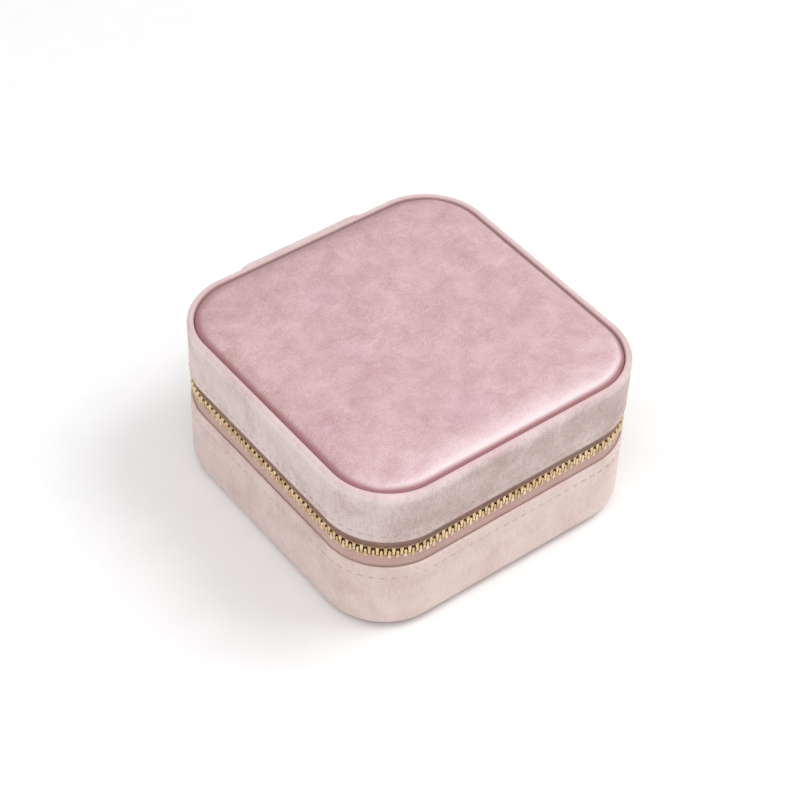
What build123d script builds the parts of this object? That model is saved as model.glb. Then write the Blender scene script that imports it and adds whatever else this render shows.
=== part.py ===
from build123d import *
import os

# Travel jewelry case: a small zipped box, rounded square in plan, covered in velvet.
# The base holds ring rolls and a divided tray, the lid holds a mirror and a pocket.
# Frame: millimetres, +Z up, origin at the centre of the flat underside, front at -Y,
# hinge at +Y, zip slider on the right (+X). "Inset" is a distance inwards from the
# outline of the case.

# ---- driving dimensions -------------------------------------------------------------

case_side = 100.0  # width and depth of the plan
corner_radius = 20.0  # plan corners
rim_height = 53.6  # top of the lid's rim
crown_height = 55.0  # top of the domed pad, at its centre
pad_low = 51.7  # underside of the pad, on the lid's top board
crown_radius = 1025.0  # radius of the dome
bottom_edge_radius = 5.0
rim_edge_radius = 1.4
pad_edge_radius = 1.2

base_rim = 25.6  # top of the base's outer wall
lid_edge = 35.6  # lower edge of the lid's outer wall
chain_height = 31.4  # middle of the zip chain, where base and lid part

cover_thickness = 0.8  # velvet with its backing
skin_thickness = 0.6  # velvet on the linings and the pad
board_thickness = 1.5  # stiff board of the outer walls
liner_thickness = 1.0  # stiff board of the inner walls
tape_thickness = 0.5
glue = 0.05  # gap left for the glue between two layers
gap = 0.25  # gap between pieces that only lie near each other
parting_gap = 0.4  # between the linings of base and lid
lining_edge = 0.55  # lining turned over the edge of a liner
ceiling_thickness = 1.85  # lining and board between the lid's hollow and its top board

pad_inset = 2.0  # seam between the lid's rim and its top pad
underside_inset = 9.0  # seam between the side cover and the bottom cover
tape_inset = 0.9  # outer face of the zip tape
tape_tuck = 6.0  # depth of tape held between the wall's two boards
gusset_inset = 0.4  # outer face of the fabric gusset behind the hinge

tooth_pitch = 2.1
tooth_inset = 0.2  # outside of the chain
tooth_depth = 1.9  # from the outside of the chain to its inside
tooth_first_lower = 0.25  # first tooth of each row, in pitches from the chain's start
tooth_first_upper = 0.75
tooth_head_width = 0.8
tooth_foot_width = 1.24
tooth_reach = 0.8  # how far a head passes the middle of the chain
tooth_shoulder = 1.2  # from the middle of the chain to the full width of the foot
tooth_length = 2.8
tape_edge = 1.2  # from the middle of the chain to the edge of each tape

stop_width = 1.4
stop_height = 1.9
stop_edge_radius = 0.3

patch_width = 48.0  # stiff velvet patch that serves as the hinge
patch_low = 3.5
patch_high = 52.5
patch_standout = 2.2
patch_corner_radius = 6.0
patch_board_thickness = 1.3
patch_board_margin = 1.5
patch_board_end = 2.5  # from the patch's lower end to its lower board
patch_board_radius = 4.0
patch_edge_radius = 1.0
patch_board_gap = 0.3  # between the case's outline and the boards
patch_fold = 2.3  # from the hinge line to each of the patch's boards
hinge_line_z = 31.0

roll_count = 7
roll_width = 12.6
roll_top = 27.0
roll_seat = 10.0  # top of the block that the rolls stand on
divider_top = 26.5
removable_divider_top = 24.5
removable_divider_offset = 15.1  # from the middle of the case, front and back
divider_board_thickness = 1.5
removable_board_thickness = 1.1

mirror_width = 72.0
mirror_depth = 40.0
mirror_thickness = 2.0
mirror_corner_radius = 6.0
mirror_centre_y = -17.0
mirror_bevel = 0.6
pad_tape_thickness = 0.5

pocket_width = 80.0
pocket_front = 13.0
pocket_back = 42.0
pocket_height = 3.4
pocket_fabric = 0.9
hem_width = 5.0
hem_height = 1.0
elastic_width = 3.0

slider_rest_y = 25.0
slider_length = 9.0
slider_width = 6.7
slider_corner_radius = 2.2
slider_plate = 1.0
slider_inner_plate = 0.6
slider_lip = 0.6
slider_lip_depth = 0.8
channel_clearance = 0.2  # between the teeth and the slider's plates
chain_in_slider = 1.5  # how far the teeth reach past the slider's middle
post_length = 2.2
post_width = 1.8
post_margin = 0.3  # from the post to the slider's nose
bridge_length = 5.8
bridge_bend_radius = 1.0
link_standoff = 0.15  # between the slider's plate and the pull link
wire_radius = 0.45  # bridge and pull link
link_clearance = 0.1
link_length = 4.6  # between the centres of the link's two ends
tab_thickness = 0.8
tab_end_radius = 3.0
tab_eye_radius = 1.6
tab_hole_radius = 0.75
tab_length = 12.6  # from the eye to the centre of the tab's round end

# ---- dimensions that follow from them -------------------------------------------------

half_side = case_side / 2

board_outer = cover_thickness + glue
board_inner = board_outer + board_thickness - glue
tuck_outer = board_inner + glue
tuck_inner = tuck_outer + tape_thickness
liner_outer = tuck_inner + gap
liner_inner = liner_outer + liner_thickness
lining_outer = liner_inner + glue
lining_inner = lining_outer + skin_thickness

bottom_board_top = cover_thickness + board_thickness
floor_board_low = bottom_board_top + glue
floor_board_top = floor_board_low + liner_thickness
floor_low = floor_board_top + glue
floor_top = floor_low + skin_thickness
cavity_low = floor_top + glue

base_lining_top = chain_height - parting_gap / 2
lid_lining_low = chain_height + parting_gap / 2
rolled_edge = cover_thickness  # cover turned in over the edge of a board
rolled_edge_radius = 0.8 * rolled_edge

top_board_low = pad_low - glue - board_thickness
panel_low = top_board_low - ceiling_thickness
panel_lining_top = panel_low + skin_thickness
panel_board_low = panel_lining_top + glue

gusset_half_width = patch_width / 2 + gap
tape_end = gusset_half_width + gap
chain_start = tape_end + stop_width + gap
compartment_edge = divider_board_thickness / 2 + skin_thickness + glue


def plan(inset, mode=Mode.ADD):
    """Outline of the case, a rounded square, moved inwards."""
    side = case_side - 2 * inset
    RectangleRounded(side, side, corner_radius - inset, mode=mode)


def band(outer_inset, inner_inset):
    """Strip of the plan between two insets: the section of an upright wall."""
    plan(outer_inset)
    plan(inner_inset, Mode.SUBTRACT)


def behind_patch(left, right):
    """Removes the part of a wall's section that lies behind the hinge patch."""
    with Locations((left, half_side)):
        Rectangle(
            right - left, corner_radius, align=(Align.MIN, Align.CENTER), mode=Mode.SUBTRACT
        )


# ---- base: outer box -------------------------------------------------------------------

with BuildPart() as base_side_cover:
    with BuildSketch():
        plan(0)
    extrude(amount=base_rim)
    fillet(base_side_cover.edges().group_by(Axis.Z)[0], bottom_edge_radius)
    offset(amount=-cover_thickness, openings=base_side_cover.faces().sort_by(Axis.Z)[-1])
    with BuildSketch():
        plan(underside_inset)
    extrude(amount=cover_thickness, mode=Mode.SUBTRACT)
    with BuildSketch(Plane.XY.offset(base_rim - rolled_edge)):
        band(cover_thickness / 2, board_inner - glue)
    extrude(amount=rolled_edge)
    fillet(base_side_cover.faces().sort_by(Axis.Z)[-1].outer_wire().edges(), rolled_edge_radius)

with BuildPart() as base_bottom_cover:
    with BuildSketch():
        plan(underside_inset + glue)
    extrude(amount=cover_thickness - glue)

with BuildPart() as base_bottom_board:
    with BuildSketch(Plane.XY.offset(cover_thickness)):
        plan(board_outer)
    extrude(amount=base_rim - cover_thickness)
    fillet(base_bottom_board.edges().group_by(Axis.Z)[0], bottom_edge_radius - board_outer)
    split(bisect_by=Plane.XY.offset(bottom_board_top), keep=Keep.BOTTOM)

with BuildPart() as base_side_board:
    with BuildSketch(Plane.XY.offset(cover_thickness)):
        plan(board_outer)
    extrude(amount=base_rim - rolled_edge - glue - cover_thickness)
    fillet(base_side_board.edges().group_by(Axis.Z)[0], bottom_edge_radius - board_outer)
    split(bisect_by=Plane.XY.offset(bottom_board_top), keep=Keep.TOP)
    with BuildSketch():
        plan(board_inner)
    extrude(amount=base_rim, mode=Mode.SUBTRACT)

# ---- base: inner box -------------------------------------------------------------------

with BuildPart() as base_liner_board:
    with BuildSketch(Plane.XY.offset(floor_board_low)):
        band(liner_outer, liner_inner)
    extrude(amount=base_lining_top - lining_edge - glue - floor_board_low)

with BuildPart() as base_floor_board:
    with BuildSketch(Plane.XY.offset(floor_board_low)):
        plan(lining_outer)
    extrude(amount=liner_thickness)

with BuildPart() as base_floor_lining:
    with BuildSketch(Plane.XY.offset(floor_low)):
        plan(lining_outer)
    extrude(amount=skin_thickness)

with BuildPart() as base_wall_lining:
    with BuildSketch(Plane.XY.offset(cavity_low)):
        band(lining_outer, lining_inner)
    extrude(amount=base_lining_top - cavity_low)
    with BuildSketch(Plane.XY.offset(base_lining_top - lining_edge)):
        band(liner_outer, lining_inner)
    extrude(amount=lining_edge)

# ---- base: fixed divider, ring rolls and removable dividers ----------------------------

divider_length = case_side - 2 * (lining_inner + glue)
divider_skin = divider_board_thickness + 2 * skin_thickness

with BuildPart() as centre_divider_board:
    with BuildSketch(Plane.XY.offset(cavity_low)):
        Rectangle(divider_board_thickness, divider_length - 2 * skin_thickness)
    extrude(amount=divider_top - skin_thickness - glue - cavity_low)

with BuildPart() as centre_divider_cover:
    with BuildSketch(Plane.XY.offset(cavity_low)):
        Rectangle(divider_skin, divider_length)
    extrude(amount=divider_top - cavity_low)
    fillet(centre_divider_cover.faces().sort_by(Axis.Z)[-1].edges(), skin_thickness)
    with BuildSketch(Plane.XY.offset(cavity_low)):
        Rectangle(
            divider_board_thickness + 2 * glue,
            divider_length - 2 * skin_thickness + 2 * glue,
        )
    extrude(amount=divider_top - skin_thickness - cavity_low, mode=Mode.SUBTRACT)

roll_area_left = -half_side + lining_inner + glue
roll_area_length = -compartment_edge - glue - roll_area_left
roll_pitch = (case_side - 2 * lining_inner) / roll_count

with BuildPart() as ring_roll_support:
    with BuildSketch(Plane.XY.offset(cavity_low)):
        plan(lining_inner + glue)
        with Locations((-compartment_edge - glue, 0)):
            Rectangle(case_side, case_side, align=(Align.MIN, Align.CENTER), mode=Mode.SUBTRACT)
    extrude(amount=roll_seat - glue - cavity_low)

ring_rolls = {}
for index in range(roll_count):
    roll_y = (index - (roll_count - 1) / 2) * roll_pitch
    with BuildPart() as ring_roll:
        with BuildSketch(Plane.YZ.offset(roll_area_left)):
            with Locations((roll_y, roll_top - roll_width / 2)):
                Circle(roll_width / 2)
            with Locations((roll_y, roll_seat)):
                Rectangle(
                    roll_width,
                    roll_top - roll_width / 2 - roll_seat,
                    align=(Align.CENTER, Align.MIN),
                )
        extrude(amount=roll_area_length)
        with BuildSketch(Plane.XY.offset(roll_seat)):
            plan(lining_inner + glue)
        extrude(amount=roll_top, mode=Mode.INTERSECT)
    ring_rolls[f"ring_roll_{index + 1}"] = ring_roll

removable_left = compartment_edge + gap
removable_length = half_side - lining_inner - gap - removable_left
removable_low = cavity_low + glue

removable_dividers = {}
for letter, side in (("a", -1), ("b", 1)):
    centre = (removable_left + removable_length / 2, side * removable_divider_offset)
    with BuildPart() as divider_board:
        with BuildSketch(Plane.XY.offset(removable_low)):
            with Locations(centre):
                Rectangle(removable_length - 2 * skin_thickness, removable_board_thickness)
        extrude(amount=removable_divider_top - skin_thickness - glue - removable_low)
    with BuildPart() as divider_cover:
        with BuildSketch(Plane.XY.offset(removable_low)):
            with Locations(centre):
                Rectangle(removable_length, removable_board_thickness + 2 * skin_thickness)
        extrude(amount=removable_divider_top - removable_low)
        fillet(divider_cover.faces().sort_by(Axis.Z)[-1].edges(), skin_thickness)
        with BuildSketch(Plane.XY.offset(removable_low)):
            with Locations(centre):
                Rectangle(
                    removable_length - 2 * skin_thickness + 2 * glue,
                    removable_board_thickness + 2 * glue,
                )
        extrude(amount=removable_divider_top - skin_thickness - removable_low, mode=Mode.SUBTRACT)
    removable_dividers[f"removable_divider_{letter}_board"] = divider_board
    removable_dividers[f"removable_divider_{letter}_cover"] = divider_cover

# ---- lid: outer box --------------------------------------------------------------------

with BuildPart() as lid_side_cover:
    with BuildSketch(Plane.XY.offset(lid_edge)):
        band(0, cover_thickness)
    extrude(amount=rim_height - lid_edge)
    with BuildSketch(Plane.XY.offset(lid_edge)):
        band(cover_thickness / 2, board_inner - glue)
    extrude(amount=rolled_edge)
    with BuildSketch(Plane.XY.offset(pad_low)):
        band(cover_thickness / 2, pad_inset - glue)
    extrude(amount=rim_height - pad_low)
    fillet(lid_side_cover.faces().sort_by(Axis.Z)[-1].outer_wire().edges(), rim_edge_radius)
    fillet(lid_side_cover.faces().sort_by(Axis.Z)[-1].inner_wires().edges(), cover_thickness / 2)
    fillet(lid_side_cover.faces().sort_by(Axis.Z)[0].outer_wire().edges(), rolled_edge_radius)

with BuildPart() as lid_side_board:
    with BuildSketch(Plane.XY.offset(lid_edge + rolled_edge + glue)):
        band(board_outer, board_inner)
    extrude(amount=top_board_low - lid_edge - rolled_edge - 2 * glue)

with BuildPart() as lid_top_board:
    with BuildSketch(Plane.XY.offset(top_board_low)):
        plan(board_outer)
    extrude(amount=board_thickness)


def domed_pad(inset, top, edge_radius):
    """Solid of the lid's top pad, from the top board up to its dome."""
    with BuildPart() as pad:
        with BuildSketch(Plane.XY.offset(pad_low)):
            plan(inset)
        extrude(amount=top - pad_low)
        with Locations((0, 0, top - crown_radius)):
            Sphere(crown_radius, mode=Mode.INTERSECT)
        fillet(pad.faces().sort_by(Axis.Z)[-1].edges(), edge_radius)
    return pad.part


foam_skin = skin_thickness + glue

with BuildPart() as lid_top_foam:
    add(domed_pad(pad_inset + foam_skin, crown_height - foam_skin, pad_edge_radius - foam_skin))

with BuildPart() as lid_top_cover:
    add(domed_pad(pad_inset, crown_height, pad_edge_radius))
    add(
        domed_pad(
            pad_inset + skin_thickness,
            crown_height - skin_thickness,
            pad_edge_radius - skin_thickness,
        ),
        mode=Mode.SUBTRACT,
    )

# ---- lid: inner box, mirror and pocket -------------------------------------------------

with BuildPart() as lid_liner_board:
    with BuildSketch(Plane.XY.offset(lid_lining_low + lining_edge + glue)):
        band(liner_outer, liner_inner)
    extrude(amount=top_board_low - 2 * glue - lid_lining_low - lining_edge)

with BuildPart() as lid_wall_lining:
    with BuildSketch(Plane.XY.offset(lid_lining_low)):
        band(lining_outer, lining_inner)
    extrude(amount=panel_low - glue - lid_lining_low)
    with BuildSketch(Plane.XY.offset(lid_lining_low)):
        band(liner_outer, lining_inner)
    extrude(amount=lining_edge)

with BuildPart() as lid_panel_board:
    with BuildSketch(Plane.XY.offset(panel_board_low)):
        plan(lining_outer)
    extrude(amount=top_board_low - glue - panel_board_low)

with BuildPart() as lid_panel_lining:
    with BuildSketch(Plane.XY.offset(panel_low)):
        plan(lining_outer)
    extrude(amount=skin_thickness)

mirror_top = panel_low - pad_tape_thickness

with BuildPart() as mirror_adhesive:
    with BuildSketch(Plane.XY.offset(mirror_top)):
        with Locations((0, mirror_centre_y)):
            RectangleRounded(
                mirror_width - 2 * mirror_bevel - 2 * gap,
                mirror_depth - 2 * mirror_bevel - 2 * gap,
                mirror_corner_radius - mirror_bevel,
            )
    extrude(amount=pad_tape_thickness)

with BuildPart() as mirror_glass:
    with BuildSketch(Plane.XY.offset(mirror_top - mirror_thickness)):
        with Locations((0, mirror_centre_y)):
            RectangleRounded(mirror_width, mirror_depth, mirror_corner_radius)
    extrude(amount=mirror_thickness)
    chamfer(mirror_glass.faces().sort_by(Axis.Z)[0].edges(), mirror_bevel)

pocket_top = panel_low - glue
pocket_low = pocket_top - pocket_height
hem_low = pocket_low - hem_height
pocket_depth = pocket_back - pocket_front
pocket_corner_radius = corner_radius - 2 * lining_inner

with BuildPart() as lid_pocket:
    with BuildSketch(Plane.XY.offset(pocket_low)):
        with Locations((0, pocket_back)):
            RectangleRounded(
                pocket_width, 2 * pocket_depth, pocket_corner_radius, align=(Align.CENTER, Align.MAX)
            )
        with Locations((0, pocket_front)):
            Rectangle(
                pocket_width, 2 * pocket_depth, align=(Align.CENTER, Align.MAX), mode=Mode.SUBTRACT
            )
    extrude(amount=pocket_height)
    with BuildSketch(Plane.XY.offset(hem_low)):
        with Locations((0, pocket_front)):
            Rectangle(pocket_width, hem_width, align=(Align.CENTER, Align.MIN))
    extrude(amount=hem_height)
    with BuildSketch(Plane.XY.offset(pocket_low + pocket_fabric)):
        with Locations((0, pocket_back - pocket_fabric)):
            RectangleRounded(
                pocket_width - 2 * pocket_fabric,
                3 * pocket_depth,
                pocket_corner_radius - pocket_fabric,
                align=(Align.CENTER, Align.MAX),
            )
    extrude(amount=pocket_height, mode=Mode.SUBTRACT)
    with BuildSketch(Plane.YZ.offset(-pocket_width / 2)):
        with Locations((pocket_front + hem_width / 2, hem_low + hem_height)):
            Rectangle(elastic_width, hem_height)
    extrude(amount=pocket_width, mode=Mode.SUBTRACT)

with BuildPart() as pocket_elastic:
    with BuildSketch(Plane.YZ.offset(-pocket_width / 2 + glue)):
        with Locations((pocket_front + hem_width / 2, hem_low + hem_height)):
            Rectangle(elastic_width - 2 * glue, hem_height - 2 * glue)
    extrude(amount=pocket_width - 2 * glue)

# ---- zip: tapes, teeth and stops -------------------------------------------------------

with BuildPart() as zip_tape_lower:
    with BuildSketch(Plane.XY.offset(base_rim + gap)):
        band(tape_inset, tape_inset + tape_thickness)
        behind_patch(-tape_end, tape_end)
    extrude(amount=chain_height - tape_edge - base_rim - gap)
    with BuildSketch(Plane.XY.offset(base_rim + gap)):
        band(tape_inset, tuck_inner)
        behind_patch(-tape_end, tape_end)
    extrude(amount=tape_thickness)
    with BuildSketch(Plane.XY.offset(base_rim - tape_tuck)):
        band(tuck_outer, tuck_inner)
        behind_patch(-tape_end, tape_end)
    extrude(amount=tape_tuck + gap)

with BuildPart() as zip_tape_upper:
    with BuildSketch(Plane.XY.offset(chain_height + tape_edge)):
        band(tape_inset, tape_inset + tape_thickness)
        behind_patch(-chain_start, tape_end)
    extrude(amount=lid_edge - gap - chain_height - tape_edge)
    with BuildSketch(Plane.XY.offset(lid_edge - gap - tape_thickness)):
        band(tape_inset, tuck_inner)
        behind_patch(-chain_start, tape_end)
    extrude(amount=tape_thickness)
    with BuildSketch(Plane.XY.offset(lid_edge - gap)):
        band(tuck_outer, tuck_inner)
        behind_patch(-chain_start, tape_end)
    extrude(amount=tape_tuck)

chain_inset = tooth_inset + tooth_depth / 2
chain_side = half_side - chain_inset
chain_radius = corner_radius - chain_inset
chain_end_y = slider_rest_y + chain_in_slider

with BuildLine(Plane.XY.offset(chain_height)) as chain_path:
    FilletPolyline(
        (-chain_start, chain_side),
        (-chain_side, chain_side),
        (-chain_side, -chain_side),
        (chain_side, -chain_side),
        (chain_side, chain_end_y),
        radius=chain_radius,
    )

chain_wire = chain_path.wire()
tooth_count = int(chain_wire.length / tooth_pitch)


def tooth_planes(first):
    """Upright planes across the chain, one per tooth, with +Z pointing outwards."""
    planes = []
    for number in range(tooth_count):
        place = (number + first) * tooth_pitch / chain_wire.length
        along = chain_wire.tangent_at(place)
        outwards = along.cross(Vector(0, 0, 1))
        inner_face = chain_wire.position_at(place) - outwards * tooth_depth / 2
        planes.append(Plane(inner_face, along, outwards))
    return planes


def tooth_outline(up):
    """Side view of one tooth; up is 1 for the lower row, whose heads point up."""
    Polygon(
        (-tooth_foot_width / 2, up * (tooth_reach - tooth_length)),
        (tooth_foot_width / 2, up * (tooth_reach - tooth_length)),
        (tooth_foot_width / 2, -up * tooth_shoulder),
        (tooth_head_width / 2, -up * tooth_shoulder / 2),
        (tooth_head_width / 2, up * tooth_reach),
        (-tooth_head_width / 2, up * tooth_reach),
        (-tooth_head_width / 2, -up * tooth_shoulder / 2),
        (-tooth_foot_width / 2, -up * tooth_shoulder),
        align=None,
    )


with BuildPart() as zip_teeth_lower:
    with BuildSketch(*tooth_planes(tooth_first_lower)):
        tooth_outline(1)
    extrude(amount=tooth_depth)

with BuildPart() as zip_teeth_upper:
    with BuildSketch(*tooth_planes(tooth_first_upper)):
        tooth_outline(-1)
    extrude(amount=tooth_depth)

stop_y = slider_rest_y + slider_length / 2 + gap + stop_width / 2
bottom_stop_x = gap + stop_width / 2 - chain_start

with BuildPart() as zip_top_stop_lower:
    with BuildSketch(Plane.XY.offset(chain_height - gap - stop_height)):
        with Locations((chain_side, stop_y)):
            Rectangle(tooth_depth, stop_width)
    extrude(amount=stop_height)
    fillet(zip_top_stop_lower.edges(), stop_edge_radius)

with BuildPart() as zip_top_stop_upper:
    with BuildSketch(Plane.XY.offset(chain_height + gap)):
        with Locations((chain_side, stop_y)):
            Rectangle(tooth_depth, stop_width)
    extrude(amount=stop_height)
    fillet(zip_top_stop_upper.edges(), stop_edge_radius)

with BuildPart() as zip_bottom_stop:
    with BuildSketch(Plane.XY.offset(chain_height - stop_height)):
        with Locations((bottom_stop_x, chain_side)):
            Rectangle(stop_width, tooth_depth)
    extrude(amount=2 * stop_height)
    fillet(zip_bottom_stop.edges(), stop_edge_radius)

# ---- zip: slider and pull ----------------------------------------------------------------

channel_outer = half_side - tooth_inset + channel_clearance
channel_depth = tooth_depth + 2 * channel_clearance
channel_inner = channel_outer - channel_depth
plate_face = channel_outer + slider_plate
link_radius = 2 * wire_radius + link_clearance
bridge_x = plate_face + link_standoff + link_radius + wire_radius
link_low = chain_height - link_length
eye_z = link_low - link_radius
nose_y = slider_rest_y + slider_length / 2

with BuildPart() as slider_body:
    with BuildSketch(Plane.XZ.offset(-nose_y)):
        with Locations((channel_outer + slider_plate / 2, chain_height)):
            Rectangle(slider_plate, slider_width)
        with Locations(
            (channel_outer, chain_height + slider_width / 2),
            (channel_outer, chain_height - slider_width / 2 + slider_lip),
        ):
            Rectangle(slider_lip_depth, slider_lip, align=(Align.MAX, Align.MAX))
        with Locations((channel_inner, chain_height)):
            Rectangle(
                slider_inner_plate, slider_width - slider_lip, align=(Align.MAX, Align.CENTER)
            )
    extrude(amount=slider_length)
    with BuildSketch(Plane.YZ.offset(channel_inner - slider_inner_plate)):
        with Locations((slider_rest_y, chain_height)):
            RectangleRounded(slider_length, slider_width, slider_corner_radius)
    extrude(amount=plate_face - channel_inner + slider_inner_plate, mode=Mode.INTERSECT)
    with BuildSketch(Plane.YZ.offset(channel_inner - slider_inner_plate / 2)):
        with BuildLine():
            Polyline(
                (nose_y - post_margin - post_length, chain_height),
                (nose_y - post_margin, chain_height - post_width / 2),
                (nose_y - post_margin, chain_height + post_width / 2),
                close=True,
            )
        make_face()
    extrude(amount=channel_depth + slider_inner_plate / 2 + slider_plate / 2)

with BuildPart() as slider_bridge:
    with BuildLine(Plane.XY.offset(chain_height)) as bridge_path:
        FilletPolyline(
            (plate_face, slider_rest_y - bridge_length / 2),
            (bridge_x, slider_rest_y - bridge_length / 2),
            (bridge_x, slider_rest_y + bridge_length / 2),
            (plate_face, slider_rest_y + bridge_length / 2),
            radius=bridge_bend_radius,
        )
    with BuildSketch(Plane(origin=bridge_path.line @ 0, z_dir=bridge_path.line % 0)):
        Circle(wire_radius)
    sweep(path=bridge_path.line)

with BuildPart() as pull_link:
    with BuildLine(Plane.XZ.offset(-slider_rest_y)) as link_path:
        Line((bridge_x - link_radius, link_low), (bridge_x - link_radius, chain_height))
        ThreePointArc(
            (bridge_x - link_radius, chain_height),
            (bridge_x, chain_height + link_radius),
            (bridge_x + link_radius, chain_height),
        )
        Line((bridge_x + link_radius, chain_height), (bridge_x + link_radius, link_low))
        ThreePointArc(
            (bridge_x + link_radius, link_low),
            (bridge_x, link_low - link_radius),
            (bridge_x - link_radius, link_low),
        )
    with BuildSketch(Plane(origin=link_path.line @ 0, z_dir=link_path.line % 0)):
        Circle(wire_radius)
    sweep(path=link_path.line)

with BuildPart() as pull_tab:
    with BuildSketch(Plane.YZ.offset(bridge_x - tab_thickness / 2)):
        with Locations((slider_rest_y, eye_z)):
            Circle(tab_eye_radius)
        with Locations((slider_rest_y, eye_z - tab_length)):
            Circle(tab_end_radius)
        make_hull()
        with Locations((slider_rest_y, eye_z)):
            Circle(tab_hole_radius, mode=Mode.SUBTRACT)
    extrude(amount=tab_thickness)
    fillet(pull_tab.faces().sort_by(Axis.X)[-1].outer_wire().edges(), tab_thickness / 4)
    fillet(pull_tab.faces().sort_by(Axis.X)[0].outer_wire().edges(), tab_thickness / 4)

# ---- hinge: two boards in a velvet patch outside, a gusset inside ------------------------

board_face = half_side + patch_board_gap
board_width = patch_width - 2 * patch_board_margin

with BuildPart() as hinge_board_lower:
    with BuildSketch(Plane.XZ.offset(-board_face)):
        with Locations((0, patch_low + patch_board_end)):
            Rectangle(
                board_width,
                hinge_line_z - patch_fold - patch_low - patch_board_end,
                align=(Align.CENTER, Align.MIN),
            )
    extrude(amount=-patch_board_thickness)
    fillet(hinge_board_lower.edges().filter_by(Axis.Y).group_by(Axis.Z)[0], patch_board_radius)

with BuildPart() as hinge_board_upper:
    with BuildSketch(Plane.XZ.offset(-board_face)):
        with Locations((0, hinge_line_z + patch_fold)):
            Rectangle(
                board_width,
                patch_high - patch_board_margin - hinge_line_z - patch_fold,
                align=(Align.CENTER, Align.MIN),
            )
    extrude(amount=-patch_board_thickness)
    fillet(hinge_board_upper.edges().filter_by(Axis.Y).group_by(Axis.Z)[-1], patch_board_radius)

with BuildPart() as hinge_patch_cover:
    with BuildSketch(Plane.XZ.offset(-half_side - glue)):
        with Locations((0, patch_low)):
            RectangleRounded(
                patch_width,
                patch_high - patch_low,
                patch_corner_radius,
                align=(Align.CENTER, Align.MIN),
            )
    extrude(amount=glue - patch_standout)
    fillet(hinge_patch_cover.faces().sort_by(Axis.Y)[-1].edges(), patch_edge_radius)
    with BuildSketch(Plane.XZ.offset(-half_side)):
        with Locations((0, patch_low + patch_board_margin - gap)):
            RectangleRounded(
                board_width + 2 * gap,
                patch_high - patch_low - 2 * patch_board_margin + 2 * gap,
                patch_board_radius,
                align=(Align.CENTER, Align.MIN),
            )
    extrude(amount=-patch_standout + tape_thickness, mode=Mode.SUBTRACT)

with BuildPart() as hinge_gusset:
    with BuildSketch(Plane.YZ.offset(-gusset_half_width)):
        with Locations((half_side - tuck_outer, base_rim - tape_tuck)):
            Rectangle(tape_thickness, tape_tuck + gap, align=(Align.MAX, Align.MIN))
        with Locations((half_side - tuck_outer, lid_edge - gap)):
            Rectangle(tape_thickness, tape_tuck, align=(Align.MAX, Align.MIN))
        with Locations((half_side - gusset_inset, base_rim + gap)):
            Rectangle(
                tape_thickness, lid_edge - base_rim - 2 * gap, align=(Align.MAX, Align.MIN)
            )
        with Locations(
            (half_side - gusset_inset, base_rim + gap),
            (half_side - gusset_inset, lid_edge - gap - tape_thickness),
        ):
            Rectangle(
                tuck_inner - gusset_inset, tape_thickness, align=(Align.MAX, Align.MIN)
            )
    extrude(amount=2 * gusset_half_width)

# ---- labels and files ----------------------------------------------------------------------

pieces = {
    "base_side_cover": base_side_cover,
    "base_bottom_cover": base_bottom_cover,
    "base_bottom_board": base_bottom_board,
    "base_side_board": base_side_board,
    "base_liner_board": base_liner_board,
    "base_floor_board": base_floor_board,
    "base_floor_lining": base_floor_lining,
    "base_wall_lining": base_wall_lining,
    "centre_divider_board": centre_divider_board,
    "centre_divider_cover": centre_divider_cover,
    "ring_roll_support": ring_roll_support,
    **ring_rolls,
    **removable_dividers,
    "lid_side_cover": lid_side_cover,
    "lid_side_board": lid_side_board,
    "lid_top_board": lid_top_board,
    "lid_top_foam": lid_top_foam,
    "lid_top_cover": lid_top_cover,
    "lid_liner_board": lid_liner_board,
    "lid_wall_lining": lid_wall_lining,
    "lid_panel_board": lid_panel_board,
    "lid_panel_lining": lid_panel_lining,
    "mirror_adhesive": mirror_adhesive,
    "mirror_glass": mirror_glass,
    "lid_pocket": lid_pocket,
    "pocket_elastic": pocket_elastic,
    "zip_tape_lower": zip_tape_lower,
    "zip_tape_upper": zip_tape_upper,
    "zip_teeth_lower": zip_teeth_lower,
    "zip_teeth_upper": zip_teeth_upper,
    "zip_top_stop_lower": zip_top_stop_lower,
    "zip_top_stop_upper": zip_top_stop_upper,
    "zip_bottom_stop": zip_bottom_stop,
    "slider_body": slider_body,
    "slider_bridge": slider_bridge,
    "pull_link": pull_link,
    "pull_tab": pull_tab,
    "hinge_board_lower": hinge_board_lower,
    "hinge_board_upper": hinge_board_upper,
    "hinge_patch_cover": hinge_patch_cover,
    "hinge_gusset": hinge_gusset,
}

os.makedirs("parts", exist_ok=True)
for name, piece in pieces.items():
    piece.part.label = name
    export_step(piece.part, f"parts/{name}.step")
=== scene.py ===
import math

import bpy
import numpy as np
from mathutils import Matrix, Vector, noise


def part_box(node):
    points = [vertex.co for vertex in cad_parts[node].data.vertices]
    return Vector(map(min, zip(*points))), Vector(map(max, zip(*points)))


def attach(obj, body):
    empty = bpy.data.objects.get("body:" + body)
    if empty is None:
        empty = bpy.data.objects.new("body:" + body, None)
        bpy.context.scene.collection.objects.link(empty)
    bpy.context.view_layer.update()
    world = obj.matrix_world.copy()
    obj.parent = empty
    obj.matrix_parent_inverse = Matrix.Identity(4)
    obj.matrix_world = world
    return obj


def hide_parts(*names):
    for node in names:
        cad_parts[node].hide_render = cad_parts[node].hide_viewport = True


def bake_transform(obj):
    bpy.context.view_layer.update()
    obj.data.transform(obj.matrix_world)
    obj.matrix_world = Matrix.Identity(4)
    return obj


# Looks of the travel jewelry case: velvet-covered box, metal zip, hinge patch and fittings.
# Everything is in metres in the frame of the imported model: +Z up, front at -Y, hinge at +Y.
# "Inset" is a distance inwards from the case's outline, a square with round corners.

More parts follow.
